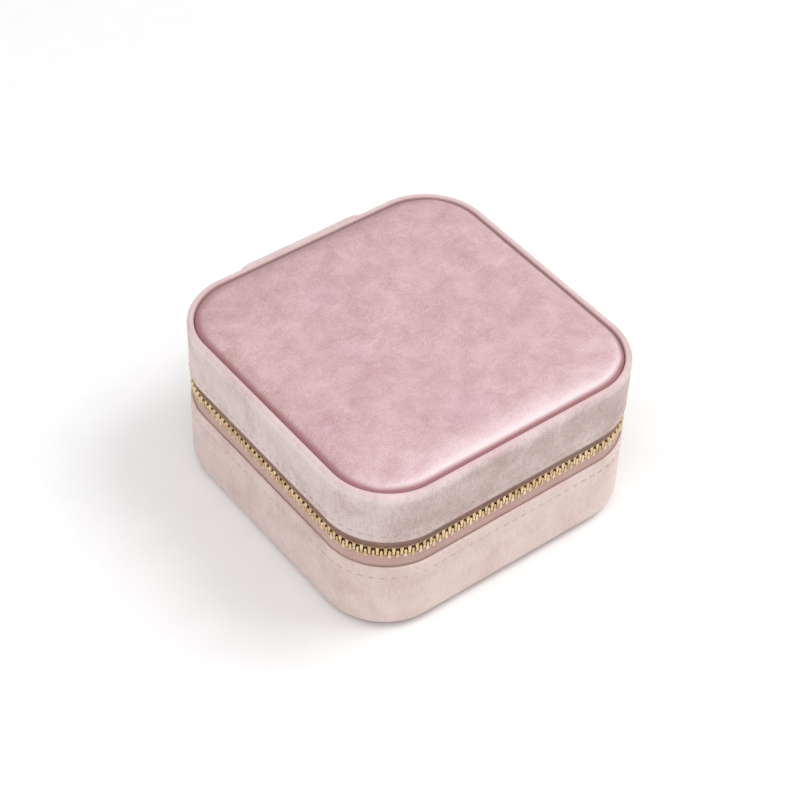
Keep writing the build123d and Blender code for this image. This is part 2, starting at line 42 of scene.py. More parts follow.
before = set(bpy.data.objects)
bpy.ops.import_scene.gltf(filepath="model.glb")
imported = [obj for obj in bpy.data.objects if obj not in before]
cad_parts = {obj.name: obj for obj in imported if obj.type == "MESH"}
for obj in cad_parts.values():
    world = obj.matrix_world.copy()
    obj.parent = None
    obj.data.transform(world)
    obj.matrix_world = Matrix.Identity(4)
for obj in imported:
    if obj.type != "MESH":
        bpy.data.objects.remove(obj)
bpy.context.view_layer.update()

MM = 0.001


# ---- sizes, from the frame ----

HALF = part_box("base_side_cover")[1].x
CORNER = 20 * MM
BASE_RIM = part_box("base_side_cover")[1].z
LID_EDGE, RIM_TOP = (corner.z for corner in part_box("lid_side_cover"))
PAD_LOW, CROWN = (corner.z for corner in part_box("lid_top_cover"))
PAD_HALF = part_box("lid_top_cover")[1].x
PAD_INSET = HALF - PAD_HALF
CHAIN = (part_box("zip_teeth_lower")[0].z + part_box("zip_teeth_upper")[1].z) / 2
COVER = 0.8 * MM  # thickness of the velvet with its backing
TAPE_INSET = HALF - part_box("zip_tape_lower")[1].x
UNDER_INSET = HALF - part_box("base_bottom_cover")[1].x
BOTTOM_RADIUS = 5 * MM
TURN_IN = 2.2 * MM  # how far the covers are turned in over the boards

SIDE = 2 * (HALF - CORNER)
TURN = math.pi / 2 * CORNER
PERIMETER = 4 * (SIDE + TURN)

SHARP = math.radians(40)  # edges sharper than this are rounded

STITCH_PITCH = 3.1 * MM
STITCH_LENGTH = 2.2 * MM
LID_STITCH_Z = LID_EDGE + 2.5 * MM
BASE_STITCH_Z = BASE_RIM - 4.2 * MM


# ---- shapes ----


def outline(s):
    """Points and outward normals on the outline, s from the middle of the back, going left."""
    quarter, along = np.divmod(np.asarray(s, float) + SIDE / 2, SIDE + TURN)
    turn = np.clip(along - SIDE, 0, None) / CORNER
    x = SIDE / 2 - np.clip(along, 0, SIDE) - CORNER * np.sin(turn)
    y = HALF - CORNER + CORNER * np.cos(turn)
    c, q = np.cos(quarter * math.pi / 2), np.sin(quarter * math.pi / 2)
    points = np.stack([x * c - y * q, x * q + y * c], -1)
    normals = np.stack([-np.sin(turn) * c - np.cos(turn) * q, np.cos(turn) * c - np.sin(turn) * q], -1)
    return points, normals


def rounded(corners, step):
    """Closed section from (inset, height, radius) corners in millimetres, cut at each step."""
    corners = [np.array(c, float) for c in corners]
    points = []
    for before, here, after in zip(corners[-1:] + corners[:-1], corners, corners[1:] + corners[:1]):
        radius = here[2]
        if radius == 0:
            points.append(here[:2])
            continue
        start = here[:2] + (before - here)[:2] / np.linalg.norm((before - here)[:2]) * radius
        end = here[:2] + (after - here)[:2] / np.linalg.norm((after - here)[:2]) * radius
        centre = start + end - here[:2]
        cuts = max(4, int(radius * 1.57 / step) + 1)
        for k in range(cuts + 1):
            a = k / cuts * math.pi / 2
            points.append(centre + (start - centre) * math.cos(a) + (end - centre) * math.sin(a))
    cut = []
    for a, b in zip(points, points[1:] + points[:1]):
        parts = max(1, round(np.linalg.norm(b - a) / step))
        cut += [a + (b - a) * k / parts for k in range(parts)]
    return np.array(cut) * MM


def new_mesh(name, points, faces, uvs=None):
    """Mesh from points and faces, smooth, with one (u, v) per face corner."""
    mesh = bpy.data.meshes.new(name)
    mesh.from_pydata([tuple(p) for p in points], [], [tuple(int(i) for i in f) for f in faces])
    if uvs is not None:
        layer = mesh.uv_layers.new(name="Along")
        layer.data.foreach_set("uv", np.asarray(uvs, np.float32).ravel())
    mesh.polygons.foreach_set("use_smooth", [True] * len(mesh.polygons))
    mesh.update()
    return mesh


def swept(name, section, places, closed=True, push=None):
    """Mesh of a closed section of (inset, height) points carried along the outline.
    push gives how far outwards each point moves: push(place, inset, height)."""
    rings, count = len(places), len(section)
    s, inset = np.meshgrid(places, section[:, 0], indexing="ij")
    z = np.broadcast_to(section[:, 1], s.shape)
    if push is not None:
        inset = inset - push(s, inset, z)
    points, normals = outline(s)
    xyz = np.concatenate([points - normals * inset[..., None], z[..., None]], -1)
    i, j = np.meshgrid(np.arange(rings if closed else rings - 1), np.arange(count), indexing="ij")
    i, j = i.ravel(), j.ravel()
    after, up = (i + 1) % rings, (j + 1) % count
    faces = np.stack([i * count + j, i * count + up, after * count + up, after * count + j], -1)
    length = np.append(0, np.cumsum(np.linalg.norm(np.roll(section, -1, 0) - section, axis=1)))
    u = np.append(places, places[0] + PERIMETER)
    uvs = np.stack([
        np.stack([u[i], u[i], u[i + 1], u[i + 1]], -1),
        np.stack([length[j], length[j + 1], length[j + 1], length[j]], -1),
    ], -1).reshape(-1, 2)
    faces = [tuple(f) for f in faces]
    if not closed:
        faces.append(tuple(range(count - 1, -1, -1)))
        faces.append(tuple((rings - 1) * count + k for k in range(count)))
        uvs = np.concatenate([uvs, np.zeros((2 * count, 2))])
    return face_outwards(new_mesh(name, xyz.reshape(-1, 3), faces, uvs))


def face_outwards(mesh):
    """Turns a closed mesh inside out if its volume is negative."""
    mesh.calc_loop_triangles()
    points = np.array([v.co for v in mesh.vertices])
    a, b, c = (points[[t.vertices[k] for t in mesh.loop_triangles]] for k in range(3))
    if np.einsum("ij,ij->", a, np.cross(b, c)) < 0:
        mesh.flip_normals()
    return mesh


def waves(points, size, seed=0.0):
    """Smooth noise from -1 to 1 whose bumps are about size across, at an array of points."""
    shift = Vector((seed, seed * 1.7, seed * 2.3))
    flat = np.asarray(points, float).reshape(-1, 3) / size
    found = [noise.noise(Vector(p) + shift) for p in flat]
    return np.array(found).reshape(np.asarray(points).shape[:-1])


def uneven(points, bumps, seed):
    """Layers of waves, in millimetres; each of bumps is (depth, size, step of the seed)."""
    return sum(depth * waves(points, size * MM, seed + step) for depth, size, step in bumps)


def on_outline(s, z):
    """Points of the outline at heights z."""
    points, _ = outline(s)
    return np.concatenate([points, z[..., None]], -1)


def slack(bumps, seed):
    """Push for swept(): the slight unevenness of a cloth."""

    def push(s, inset, z):
        return uneven(on_outline(s, z), bumps, seed) * MM

    return push


def ring_faces(rings, around, first=0):
    """Quads between rings of points that are numbered one ring after another."""
    faces = []
    for a in range(first, first + (rings - 1) * around, around):
        b = a + around
        faces += [(a + j, a + (j + 1) % around, b + (j + 1) % around, b + j) for j in range(around)]
    return faces


def shell_faces(rows, columns):
    """Faces of a closed shell between two grids of points, the upper one numbered first."""
    index = np.arange(rows * columns).reshape(rows, columns)
    quads = np.stack([index[:-1, :-1], index[1:, :-1], index[1:, 1:], index[:-1, 1:]], -1).reshape(-1, 4)
    shift = rows * columns
    rim = np.concatenate([index[:, 0], index[-1, 1:], index[-2::-1, -1], index[0, -2:0:-1]])
    after = np.roll(rim, -1)
    walls = np.stack([rim, rim + shift, after + shift, after], -1)
    return np.concatenate([quads, quads[:, ::-1] + shift, walls])


def dip(value, middle, width):
    """A smooth bump of height 1 around a middle."""
    return np.exp(-(((value - middle) / width) ** 2))


def finish_piece(made, body=None, stands_for=()):
    """Sets the body a piece rides and the CAD nodes it stands for."""
    if body:
        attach(made, body)
    if stands_for:
        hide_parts(*stands_for)
    return made


def piece(name, mesh, material, body=None, stands_for=()):
    """Object for a mesh, with its material, body and the CAD nodes it stands for."""
    made = bpy.data.objects.new(name, mesh)
    bpy.context.scene.collection.objects.link(made)
    mesh.materials.clear()
    mesh.materials.append(material)
    return finish_piece(made, body, stands_for)


def soften(made, name, width, harden=False):
    """Rounds the sharp edges of a piece with a bevel."""
    bevel = made.modifiers.new(name, "BEVEL")
    bevel.width, bevel.segments = width, 2
    bevel.limit_method, bevel.angle_limit = "ANGLE", SHARP
    bevel.harden_normals = harden


# ---- materials ----


def linear(red, green, blue):
    """Colour for a shader from red, green and blue of 0 to 255 as seen on screen."""
    return tuple(((c / 255 + 0.055) / 1.055) ** 2.4 for c in (red, green, blue)) + (1.0,)


# pale open pile at the folds, with a painted highlight where its fibres catch the light
OPEN_PILE_HIGHLIGHT = linear(242, 224, 221)
# colour of the painted highlight on slopes that face the painted light
PAINTED_SHINE = linear(244, 228, 232)
SHINE_FROM, SHINE_FULL = 0.02, 0.2  # how far a slope faces the painted light, for a painted highlight
RAGGED_MIDDLE, RAGGED_REACH = 0.51, 6.0  # the noise that frays the border of the pale open pile and its painted highlight
RAGGED_FROM, RAGGED_FULL, RAGGED_SHARE = -0.2, 1.6, 0.72


class Paint:
    """A node material being put together around one Principled shader."""

    def __init__(self, name, coordinates="Object", **constants):
        self.material = bpy.data.materials.new(name)
        self.material.use_nodes = True
        self.tree = self.material.node_tree
        self.tree.nodes.clear()
        self.shader = self.tree.nodes.new("ShaderNodeBsdfPrincipled")
        out = self.tree.nodes.new("ShaderNodeOutputMaterial")
        self.tree.links.new(self.shader.outputs[0], out.inputs[0])
        self.place = self.tree.nodes.new("ShaderNodeTexCoord").outputs[coordinates]
        for name, value in constants.items():
            self.shader.inputs[name.replace("_", " ")].default_value = value

    def join(self, kind, settings=(), **inputs):
        """Adds a node; an input that is a socket is linked, anything else is set."""
        made = self.tree.nodes.new(kind)
        for name, value in dict(settings).items():
            setattr(made, name, value)
        for name, value in inputs.items():
            key = int(name[1:]) if name[1:].isdigit() else name.replace("_", " ")
            if isinstance(value, bpy.types.NodeSocket):
                self.tree.links.new(value, made.inputs[key])
            else:
                made.inputs[key].default_value = value
        return made

    def stretched(self, scale, turn=(0, 0, 0)):
        """Coordinates scaled by different amounts, in bumps per metre."""
        return self.join("ShaderNodeMapping", Vector=self.place, Scale=scale, Rotation=turn).outputs[0]

    def noise(self, scale, detail=2.0, roughness=0.5, distortion=0.0, turn=(0, 0, 0)):
        """Noise from 0 to 1 with bumps of 1/scale metres; scale may differ along each axis."""
        scale = scale if isinstance(scale, tuple) else (scale,) * 3
        return self.join(
            "ShaderNodeTexNoise", Vector=self.stretched(scale, turn), Scale=1.0, Detail=detail,
            Roughness=roughness, Distortion=distortion,
        ).outputs["Fac"]

    def maths(self, operation, a, b=0.0, c=0.0):
        """Math node."""
        return self.join("ShaderNodeMath", {"operation": operation}, i0=a, i1=b, i2=c).outputs[0]

    def blend(self, a, b, share):
        """share of b in a, for plain numbers."""
        return self.maths("MULTIPLY_ADD", b, share, self.maths("MULTIPLY", a, 1 - share))

    def ramp(self, value, *stops):
        """Colours along a value, as (position, colour) stops."""
        made = self.join("ShaderNodeValToRGB", Fac=value)
        band = made.color_ramp
        while len(band.elements) < len(stops):
            band.elements.new(0.5)
        for element, (position, colour) in zip(band.elements, stops):
            element.position = position
            element.color = colour
        return made.outputs[0]

    def mix(self, a, b, factor, kind="MIX"):
        """Mixes two colours."""
        settings = {"data_type": "RGBA", "blend_type": kind}
        return self.join("ShaderNodeMix", settings, Factor=factor, i6=a, i7=b).outputs[2]

    def coordinate(self, axis):
        """One of the coordinates, X, Y or Z."""
        return self.join("ShaderNodeSeparateXYZ", Vector=self.place).outputs[axis]

    def spread(self, value, low, high):
        """Stretches a 0 to 1 value to run from low to high."""
        return self.join("ShaderNodeMapRange", Value=value, i3=low, i4=high).outputs[0]

    def window(self, value, low, high, top):
        """0 below low, rising to top at high."""
        return self.join("ShaderNodeMapRange", Value=value, i1=low, i2=high, i3=0.0, i4=top).outputs[0]

    def open_pile_highlight(self, edges):
        """How far the pile stands open, pale and with a painted highlight: near the folds, with a ragged
        border.
        """
        across = self.coordinate("Y")
        ragged = self.blend(self.noise((90, 80, 1), 3.0), self.noise((1100, 420, 1), 4.0, 0.7, 0.6), 0.5)
        found = None
        for place, width in edges:
            away = self.maths("ABSOLUTE", self.maths("SUBTRACT", across, place))
            near = self.maths("SUBTRACT", 1.0, self.maths("DIVIDE", away, width))
            frayed = self.maths("SUBTRACT", ragged, RAGGED_MIDDLE)
            near = self.maths("MULTIPLY_ADD", frayed, RAGGED_REACH, near)
            near = self.window(near, RAGGED_FROM, RAGGED_FULL, RAGGED_SHARE)
            found = near if found is None else self.maths("MAXIMUM", found, near)
        return found

    def bump(self, height, distance, strength=1.0, under=None):
        """Bump from a height field, over another bump if one is given."""
        made = self.join("ShaderNodeBump", Height=height, Distance=distance, Strength=strength)
        if under is not None:
            self.tree.links.new(under, made.inputs["Normal"])
        return made.outputs[0]

    def feed(self, **sockets):
        """Links sockets to the shader's inputs and returns the material."""
        for name, socket in sockets.items():
            self.tree.links.new(socket, self.shader.inputs[name.replace("_", " ")])
        return self.material


def velvet(name, deep, body, bloom, coordinates="UV", stroke=(900, 320, 900), turn=(0, 0, 0),
           roughness=0.62, sheen=0.3, patch=90, tuft=2400, painted_light_from=None, edges=(), cast=None,
           gloss=0.32, highlight_share=0.0, over=None, even=0.14, seam_shade=None):
    """Short-pile velvet: colours of the pile in shade, lying flat and brushed up; noise and painted light
    choose among them.
    painted_light_from is the way a painted light falls, which lightens the sides that face it and darkens
    those that face away;
    edges are folds along the piece, as (place, width), where the pile stands open and pale, with a painted
    highlight of its fibres catching the light;
    cast is a second hue that comes and goes in large patches;
    highlight_share is how pale the painted highlight is on the slopes that face the painted light;
    over is (place, colour) of the part of the piece that is turned over the rim;
    even is how far the pile value, with its painted light, runs from the middle before the colour changes
    fully;
    seam_shade is (from, to, colour) of the heights where the pile in the seam round the pad is painted dark
    as shade."""
    paint = Paint(
        name, coordinates, Sheen_Weight=sheen, Sheen_Roughness=0.5,
        Sheen_Tint=(1.0, 0.93, 0.93, 1.0), Specular_IOR_Level=gloss,
    )
    patches = paint.noise(patch, 4.0, 0.6, 0.4)
    strokes = paint.noise(stroke, 3.0, 0.65, 0.5, turn)
    tufts = paint.noise(tuft, 2.0, 0.7)
    pile = paint.blend(paint.blend(patches, strokes, 0.35), tufts, 0.45)
    # painted light and shade: the colour is lightened on the sides that face the given direction and darkened
    # on those facing away
    if painted_light_from:
        normal = paint.join("ShaderNodeNewGeometry").outputs["Normal"]
        lit_facing = paint.join("ShaderNodeVectorMath", {"operation": "DOT_PRODUCT"}, i0=normal, i1=painted_light_from)
        pile = paint.maths("ADD", lit_facing.outputs["Value"], pile)
    colour = paint.ramp(pile, (0.5 - even, deep), (0.5, body), (0.5 + even, bloom))
    if cast:
        tint = paint.ramp(paint.noise(38, 3.0, 0.6), (0.45, (0, 0, 0, 1)), (0.7, (0.75, 0.75, 0.75, 1)))
        colour = paint.mix(colour, cast, tint, "MULTIPLY")
    # painted highlight: a pale shine on the slopes that face the painted light
    if highlight_share:
        painted_highlight = paint.window(lit_facing.outputs["Value"], SHINE_FROM, SHINE_FULL, highlight_share)
        grain = paint.spread(paint.blend(tufts, strokes, 0.5), 0.1, 1.7)
        painted_highlight = paint.maths("MULTIPLY", painted_highlight, grain)
        colour = paint.mix(colour, PAINTED_SHINE, painted_highlight)
    if over:
        turned = paint.window(paint.coordinate("Y"), over[0], over[0] + 0.9 * MM, 0.7)
        colour = paint.mix(colour, over[1], turned)
    # painted shade: the pile low in the seam round the pad is darkened by height
    if seam_shade:
        clear = paint.window(paint.coordinate("Z"), seam_shade[0], seam_shade[1], 1.0)
        colour = paint.mix(seam_shade[2], colour, clear)
    # pale open pile at the folds, partly a painted highlight
    if edges:
        colour = paint.mix(colour, OPEN_PILE_HIGHLIGHT, paint.open_pile_highlight(edges))
    shade = paint.spread(tufts, roughness - 0.1, roughness + 0.14)
    nap = paint.bump(tufts, 0.14 * MM, 0.5, paint.bump(strokes, 0.2 * MM, 0.3))
    return paint.feed(Base_Color=colour, Roughness=shade, Normal=nap)


def woven_tape(name, deep, body, bloom):
    """Ribbed zip tape, woven in a fine herringbone."""
    paint = Paint(name, "UV", Sheen_Weight=0.25, Sheen_Roughness=0.5, Specular_IOR_Level=0.3)
    ribs = paint.join(
        "ShaderNodeTexWave", {"bands_direction": "X"}, Vector=paint.stretched((1700, 900, 1), (0, 0, 0.5)),
        Scale=1.0, Distortion=1.2, Detail=1.0,
    ).outputs["Fac"]
    fuzz = paint.noise(3200, 2.0, 0.7)
    pile = paint.blend(paint.blend(ribs, fuzz, 0.5), paint.noise(120, 3.0), 0.3)
    colour = paint.ramp(pile, (0.3, deep), (0.52, body), (0.75, bloom))
    weave = paint.bump(fuzz, 0.08 * MM, 0.4, paint.bump(ribs, 0.12 * MM, 0.6))
    return paint.feed(Base_Color=colour, Roughness=paint.spread(fuzz, 0.7, 0.95), Normal=weave)


def gold(name, body, worn, roughness):
    """Pale gold plating, a little uneven and worn."""
    paint = Paint(name, "Object", Metallic=1.0, Specular_IOR_Level=0.5)
    clouds = paint.noise(450, 3.0, 0.6)
    scratch = paint.noise((2500, 9000, 2500), 2.0, 0.6)
    colour = paint.ramp(clouds, (0.35, worn), (0.62, body))
    shade = paint.spread(paint.blend(clouds, scratch, 0.5), roughness - 0.1, roughness + 0.14)
    return paint.feed(Base_Color=colour, Roughness=shade, Normal=paint.bump(scratch, 0.01 * MM, 0.35))


def grainy(name, low, high, scale, roughness, depth, coordinates="Object"):
    """Plain uneven matter: board, foam, glue and floor."""
    paint = Paint(name, coordinates, Specular_IOR_Level=0.3)
    coarse, fine = paint.noise(scale, 4.0, 0.6), paint.noise(scale * 9, 2.0, 0.6)
    grain = paint.blend(coarse, fine, 0.4)
    colour = paint.ramp(grain, (0.35, low), (0.65, high))
    shade = paint.spread(fine, roughness - 0.08, roughness + 0.08)
    return paint.feed(Base_Color=colour, Roughness=shade, Normal=paint.bump(grain, depth, 0.4))


def silvered(name):
    """Mirror glass with faint smears."""
    paint = Paint(name, "Object", Metallic=1.0, Base_Color=(0.93, 0.94, 0.95, 1.0))
    smears = paint.noise((60, 25, 60), 3.0, 0.6, 1.0)
    return paint.feed(Roughness=paint.ramp(smears, (0.5, (0.015,) * 3 + (1,)), (0.8, (0.07,) * 3 + (1,))))


# painted light on the pad: its front slopes painted lighter with a painted highlight, and painted shade in
# the seam round it
top_velvet = velvet(
    "top_velvet", linear(170, 131, 131), linear(197, 162, 162), linear(216, 187, 189), "Object",
    (620, 1300, 900), (0, 0, 0.6), roughness=0.5, sheen=0.2, patch=170, painted_light_from=(0.06, -0.5, 0.0),
    cast=(0.96, 0.91, 1.0, 1.0), gloss=0.5, highlight_share=0.62, even=0.19,
    seam_shade=(RIM_TOP - 0.45 * MM, RIM_TOP + 0.2 * MM, linear(160, 110, 113)),
)
# painted light: sides facing left and up are painted lighter; the folds at the lower edge and the rim carry a
# painted highlight
lid_velvet = velvet(
    "lid_velvet", linear(170, 143, 136), linear(194, 170, 164), linear(220, 202, 198),
    painted_light_from=(-0.085, 0.0, 0.1), edges=((0.3 * MM, 0.8 * MM), (16.9 * MM, 1.5 * MM)),
    over=(17.3 * MM, linear(206, 175, 175)), even=0.11,
)
# painted light: sides facing right and front a touch lighter
base_velvet = velvet(
    "base_velvet", linear(198, 170, 163), linear(218, 194, 187), linear(232, 213, 208),
    painted_light_from=(0.02, -0.03, 0.0),
)
# painted light: faces that turn up are painted a little lighter
patch_velvet = velvet(
    "patch_velvet", linear(172, 145, 140), linear(198, 173, 168), linear(219, 200, 197), "Object",
    painted_light_from=(0.0, 0.0, 0.1),
)
lining_velvet = velvet(
    "lining_velvet", linear(160, 120, 122), linear(184, 146, 148), linear(204, 172, 173), "Object",
    (700, 700, 300), sheen=0.2,
)
tape_cloth = woven_tape("tape_cloth", linear(188, 146, 138), linear(214, 176, 166), linear(226, 196, 186))
# painted shade: a darker copy of the tape cloth, standing for the shadow of the lid's overhang on the upper
# tape
tape_in_shadow = woven_tape("tape_in_shadow", linear(136, 104, 94), linear(164, 130, 118), linear(182, 150, 138))
thread = grainy("thread", linear(186, 162, 154), linear(208, 185, 178), 1500, 0.75, 0.05 * MM)
plating = gold("plating", linear(232, 208, 166), linear(200, 168, 118), 0.3)
tooth_metal = gold("tooth_metal", linear(236, 214, 176), linear(196, 166, 122), 0.36)
board = grainy("board", linear(150, 145, 136), linear(176, 170, 160), 600, 0.85, 0.06 * MM)
foam = grainy("foam", linear(226, 222, 210), linear(242, 239, 230), 1400, 0.9, 0.2 * MM)
glue_tape = grainy("glue_tape", linear(216, 216, 212), linear(236, 236, 232), 900, 0.7, 0.04 * MM)
covered_elastic = grainy("covered_elastic", linear(160, 120, 120), linear(186, 146, 146), 1100, 0.8, 0.1 * MM)
mirror = silvered("mirror")
floor_paint = grainy("floor_paint", (0.86, 0.86, 0.86, 1), (0.9, 0.9, 0.9, 1), 8, 0.9, 0.02 * MM)


# ---- camera, lights and floor ----

VIEW_AZIMUTH = math.radians(-39.2)
VIEW_ELEVATION = math.radians(45.0)
VIEW_DISTANCE = 0.6382
VIEW_ROLL = math.radians(2.46)
VIEW_TARGET = Vector((0, 0, 0.025))
LENS = 99.9
CLIP_START = 0.02
VIEW_SHIFT = (-0.007, 0.0083)
SKY_STRENGTH = 0.62
FLOOR_REACH = 3.0


def backwards(azimuth, elevation):
    """Unit vector from the object towards a viewer."""
    level = math.cos(elevation)
    return Vector((math.sin(azimuth) * level, -math.cos(azimuth) * level, math.sin(elevation)))


def looking(at, back, roll=0.0):
    """Placement of a camera or lamp that looks along -back at a point."""
    turn = (-back).to_track_quat("-Z", "Y").to_matrix().to_4x4()
    return Matrix.Translation(at) @ turn @ Matrix.Rotation(roll, 4, "Z")


def make_camera():
    """The camera, at the case's three-quarter view from above."""
    camera = bpy.data.objects.new("camera", bpy.data.cameras.new("camera"))
    bpy.context.scene.collection.objects.link(camera)
    back = backwards(VIEW_AZIMUTH, VIEW_ELEVATION)
    camera.matrix_world = looking(VIEW_TARGET + back * VIEW_DISTANCE, back, VIEW_ROLL)
    camera.data.lens = LENS
    camera.data.shift_x, camera.data.shift_y = VIEW_SHIFT
    camera.data.clip_start = CLIP_START
    bpy.context.scene.camera = camera


def lamp(name, azimuth, elevation, distance, size, power):
    """A soft square lamp that shines at the case."""
    light = bpy.data.lights.new(name, "AREA")
    light.shape, light.size, light.energy = "SQUARE", size, power
    made = bpy.data.objects.new(name, light)
    bpy.context.scene.collection.objects.link(made)
    back = backwards(math.radians(azimuth), math.radians(elevation))
    made.matrix_world = looking(VIEW_TARGET + back * distance, back)


def make_room():
    """A pale floor under a white sky."""
    world = bpy.data.worlds.new("sky")
    bpy.context.scene.world = world
    world.use_nodes = True
    sky = world.node_tree.nodes["Background"].inputs
    sky["Color"].default_value, sky["Strength"].default_value = (1, 1, 1, 1), SKY_STRENGTH
    corners = [(x * FLOOR_REACH, y * FLOOR_REACH, 0) for x, y in ((-1, -1), (1, -1), (1, 1), (-1, 1))]
    floor = piece("floor", new_mesh("floor", corners, [(0, 1, 2, 3)]), floor_paint)


bpy.context.scene.view_settings.view_transform = "Standard"
make_camera()
make_room()
lamp("key", azimuth=-70, elevation=62, distance=1.2, size=0.9, power=5.0)
lamp("glow", azimuth=62, elevation=58, distance=1.1, size=0.55, power=5.5)


# ---- outer covers ----


BAND_PLACES = 760
LID_BAND_STEP, BASE_BAND_STEP = 0.45, 0.62  # millimetres between points of a section
WALL_BUMPS = ((0.12, 17, 0), (0.05, 4.5, 5), (0.035, 0.9, 9))
TUCK_DEPTH, TUCK_WIDTH, TUCK_LEAST = 0.13, 0.6 * MM, 0.4  # the groove a row of stitches pulls
STITCH_RADIUS, STITCH_SUNK, STITCH_RISE = 0.13 * MM, 0.17 * MM, 0.11 * MM


def seam_wave(s, pitch):
    """0 to 1 and back once for each stitch."""
    return 0.5 + 0.5 * np.cos(s / pitch * 2 * math.pi)


def wall_push(stitch_z, seed):
    """How a velvet-covered wall swells and dips: soft unevenness and a tucked row of stitches."""

    def push(s, inset, z):
        outer = np.clip(1 - inset / COVER, 0, 1)
        pulled = TUCK_LEAST + (1 - TUCK_LEAST) * seam_wave(s, STITCH_PITCH)
        tuck = -TUCK_DEPTH * dip(z, stitch_z, TUCK_WIDTH) * pulled
        return outer * (uneven(on_outline(s, z), WALL_BUMPS, seed) + tuck) * MM

    return push


def make_band(name, section, step, material, body, stitch_z, seed, node):
    """Velvet band swept round the case from a section of (inset, height, radius) in millimetres."""
    places = np.linspace(0, PERIMETER, BAND_PLACES, endpoint=False)
    mesh = swept(name, rounded(section, step), places, push=wall_push(stitch_z, seed))
    piece(name, mesh, material, body, [node])


def make_lid_band():
    """Velvet round the lid's wall, turned in at the lower edge and over the rim."""
    low, high, pad, cover = LID_EDGE / MM, RIM_TOP / MM, PAD_LOW / MM, COVER / MM
    groove, inner = (PAD_INSET - 0.1 * MM) / MM, TURN_IN / MM
    section = [
        (0, low, 0.8), (0, high, 1.3), (groove, high - 0.15, 0.55), (groove, pad, 0), (cover, pad, 0),
        (cover, low + cover, 0), (inner, low + cover, 0), (inner, low, 0.3),
    ]
    make_band("lid_band", section, LID_BAND_STEP, lid_velvet, "lid", LID_STITCH_Z, 3.0, "lid_side_cover")


def make_base_band():
    """Velvet round the base's wall, turned in over the rim and under the bottom."""
    high, cover, inner = BASE_RIM / MM, COVER / MM, TURN_IN / MM
    under, slit = (UNDER_INSET - 0.05 * MM) / MM, (TAPE_INSET - 0.04 * MM) / MM
    turned, bend = high - 1.4, BOTTOM_RADIUS / MM
    section = [
        (0, high, 0.5), (0, 0, bend), (under, 0, 0.3), (under, cover, 0), (cover, cover, bend - cover),
        (cover, turned, 0), (inner, turned, 0), (inner, high - cover, 0), (slit, high - cover, 0.1),
        (slit, high, 0.4),
    ]
    make_band("base_band", section, BASE_BAND_STEP, base_velvet, "base", BASE_STITCH_Z, 8.0,
              "base_side_cover")


def make_stitches(name, z, body):
    """One row of short stitches sunk in the pile, all round."""
    count = int(PERIMETER / STITCH_PITCH)
    pitch = PERIMETER / count
    rings, sides, least = 7, 6, 0.15
    along = np.linspace(-1, 1, rings)
    lift = (1 - along**2) ** 0.5
    thick = STITCH_RADIUS * np.maximum(lift, least)
    points, faces = [], []
    for k in range(count):
        centre, normal = outline((k + 0.5) * pitch + along / 2 * STITCH_LENGTH)
        first = len(points)
        for place in range(rings):
            for side in range(sides):
                a = side / sides * 2 * math.pi
                out = thick[place] * math.cos(a) - STITCH_SUNK + STITCH_RISE * lift[place]
                xy = centre[place] + normal[place] * out
                points.append((xy[0], xy[1], z + thick[place] * math.sin(a)))
        faces += ring_faces(rings, sides, first)
        faces.append(tuple(first + side for side in reversed(range(sides))))
        faces.append(tuple(first + (rings - 1) * sides + side for side in range(sides)))
    piece(name, face_outwards(new_mesh(name, points, faces)), thread, body)


make_lid_band()
make_base_band()
make_stitches("lid_stitches", LID_STITCH_Z, "lid")
make_stitches("base_stitches", BASE_STITCH_Z, "base")


# ---- padded sheets on a rounded rectangle ----


GRID_SQUARENESS = 4  # the higher, the nearer to the border the grid stays square


def rounded_grid(half_x, half_y, radius, step):
    """Square grid bent to fill a rounded rectangle: x, y and the distance to its border."""
    count_x, count_y = round(2 * half_x / step), round(2 * half_y / step)
    u, v = np.meshgrid(np.linspace(-1, 1, count_x + 1), np.linspace(-1, 1, count_y + 1), indexing="ij")
    rim = np.maximum(np.maximum(abs(u), abs(v)), 1e-9)
    x, y = u / rim * half_x, v / rim * half_y
    cx, cy = half_x - radius, half_y - radius
    length = np.hypot(x, y)
    dx, dy = abs(x) / length, abs(y) / length
    along = dx * cx + dy * cy
    reach = along + np.sqrt(np.maximum(along**2 - cx**2 - cy**2 + radius**2, 0))
    factor = np.where((abs(x) > cx) & (abs(y) > cy), np.minimum(reach / length, 1), 1)
    stretch = 1 + (factor - 1) * rim**GRID_SQUARENESS
    x, y = u * half_x * stretch, v * half_y * stretch
    qx, qy = abs(x) - cx, abs(y) - cy
    border = radius - np.hypot(np.maximum(qx, 0), np.maximum(qy, 0)) - np.minimum(np.maximum(qx, qy), 0)
    return x, y, np.maximum(border, 0)


def closed_sheet(name, x, y, top, bottom):
    """Closed mesh between two height fields over one grid."""
    points = np.concatenate([np.stack([x, y, z], -1).reshape(-1, 3) for z in (top, bottom)])
    faces = shell_faces(*x.shape)
    return face_outwards(new_mesh(name, points, faces, points[faces.ravel()][:, :2]))


PRESSURE = 4.0
SIMULATED_FRAMES = 20


def positions(made):
    """The places of an object's points."""
    return np.array([v.co for v in made.data.vertices])


def move_points(made, points):
    """Sets the places of an object's points."""
    made.data.vertices.foreach_set("co", points.ravel())
    made.data.update()


